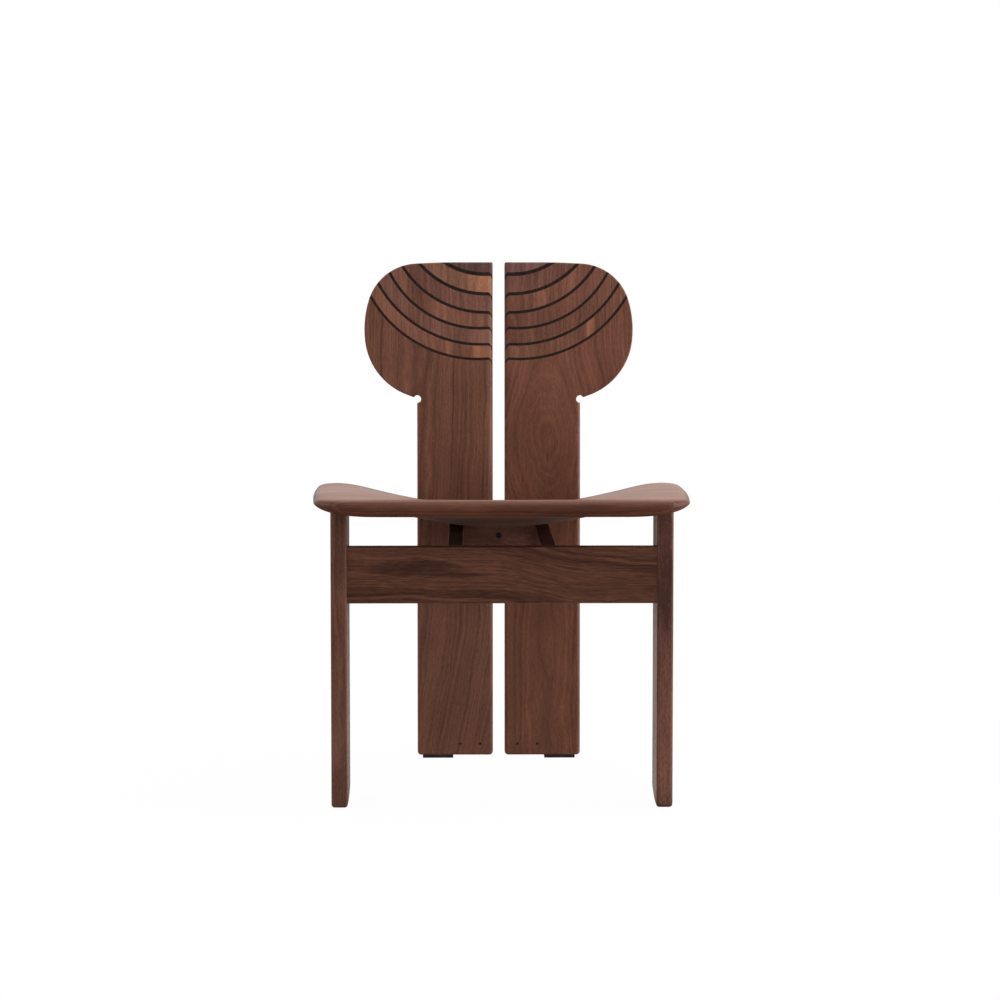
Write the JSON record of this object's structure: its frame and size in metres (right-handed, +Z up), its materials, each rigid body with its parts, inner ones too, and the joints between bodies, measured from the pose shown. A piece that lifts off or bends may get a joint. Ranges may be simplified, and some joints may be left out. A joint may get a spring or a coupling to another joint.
{
  "type": "wooden side chair",
  "caption": "Side chair with a dished wooden seat on two slab front legs, and a tall split back of two round-headed boards crossed by dark arcs.",
  "frame": {"origin": "on the floor, under the middle of the chair's width and depth", "axes": "+Z up, +X to the viewer's right when the viewer faces the chair, +Y from the front of the seat to the back boards"},
  "size_m": [0.5704, 0.5202, 0.7926],
  "materials": {
    "oiled_walnut": "oiled",
    "ebony": "oiled",
    "beech": "raw",
    "black_nylon": "matte",
    "black_steel": "blackened",
    "zinc_steel": "zinc plated"
  },
  "bodies": {
    "root": {"seat": "oiled_walnut", "left_front_leg": "oiled_walnut", "right_front_leg": "oiled_walnut", "front_crossbeam": "oiled_walnut", "left_side_rail": "oiled_walnut", "right_side_rail": "oiled_walnut", "rear_crossmember": "oiled_walnut", "board_spacer": "oiled_walnut", "spacer_bolt": "black_steel", "left_back_board": "oiled_walnut", "left_back_band_1": "oiled_walnut", "left_back_band_2": "oiled_walnut", "left_back_band_3": "oiled_walnut", "left_back_band_4": "oiled_walnut", "left_back_band_5": "oiled_walnut", "left_back_band_6": "oiled_walnut", "left_dark_strip_1": "ebony", "left_dark_strip_2": "ebony", "left_dark_strip_3": "ebony", "left_dark_strip_4": "ebony", "left_dark_strip_5": "ebony", "left_dark_strip_6": "ebony", "right_back_board": "oiled_walnut", "right_back_band_1": "oiled_walnut", "right_back_band_2": "oiled_walnut", "right_back_band_3": "oiled_walnut", "right_back_band_4": "oiled_walnut", "right_back_band_5": "oiled_walnut", "right_back_band_6": "oiled_walnut", "right_dark_strip_1": "ebony", "right_dark_strip_2": "ebony", "right_dark_strip_3": "ebony", "right_dark_strip_4": "ebony", "right_dark_strip_5": "ebony", "right_dark_strip_6": "ebony", "left_floor_glide": "black_nylon", "right_floor_glide": "black_nylon", "foot_pegs": "ebony", "beam_dowels": "beech", "rail_front_dowels": "beech", "rail_back_dowels": "beech", "crossmember_dowels": "beech", "seat_dowels": "beech", "seat_screws": "zinc_steel", "glide_screws": "zinc_steel"}
  },
  "joints": []
}
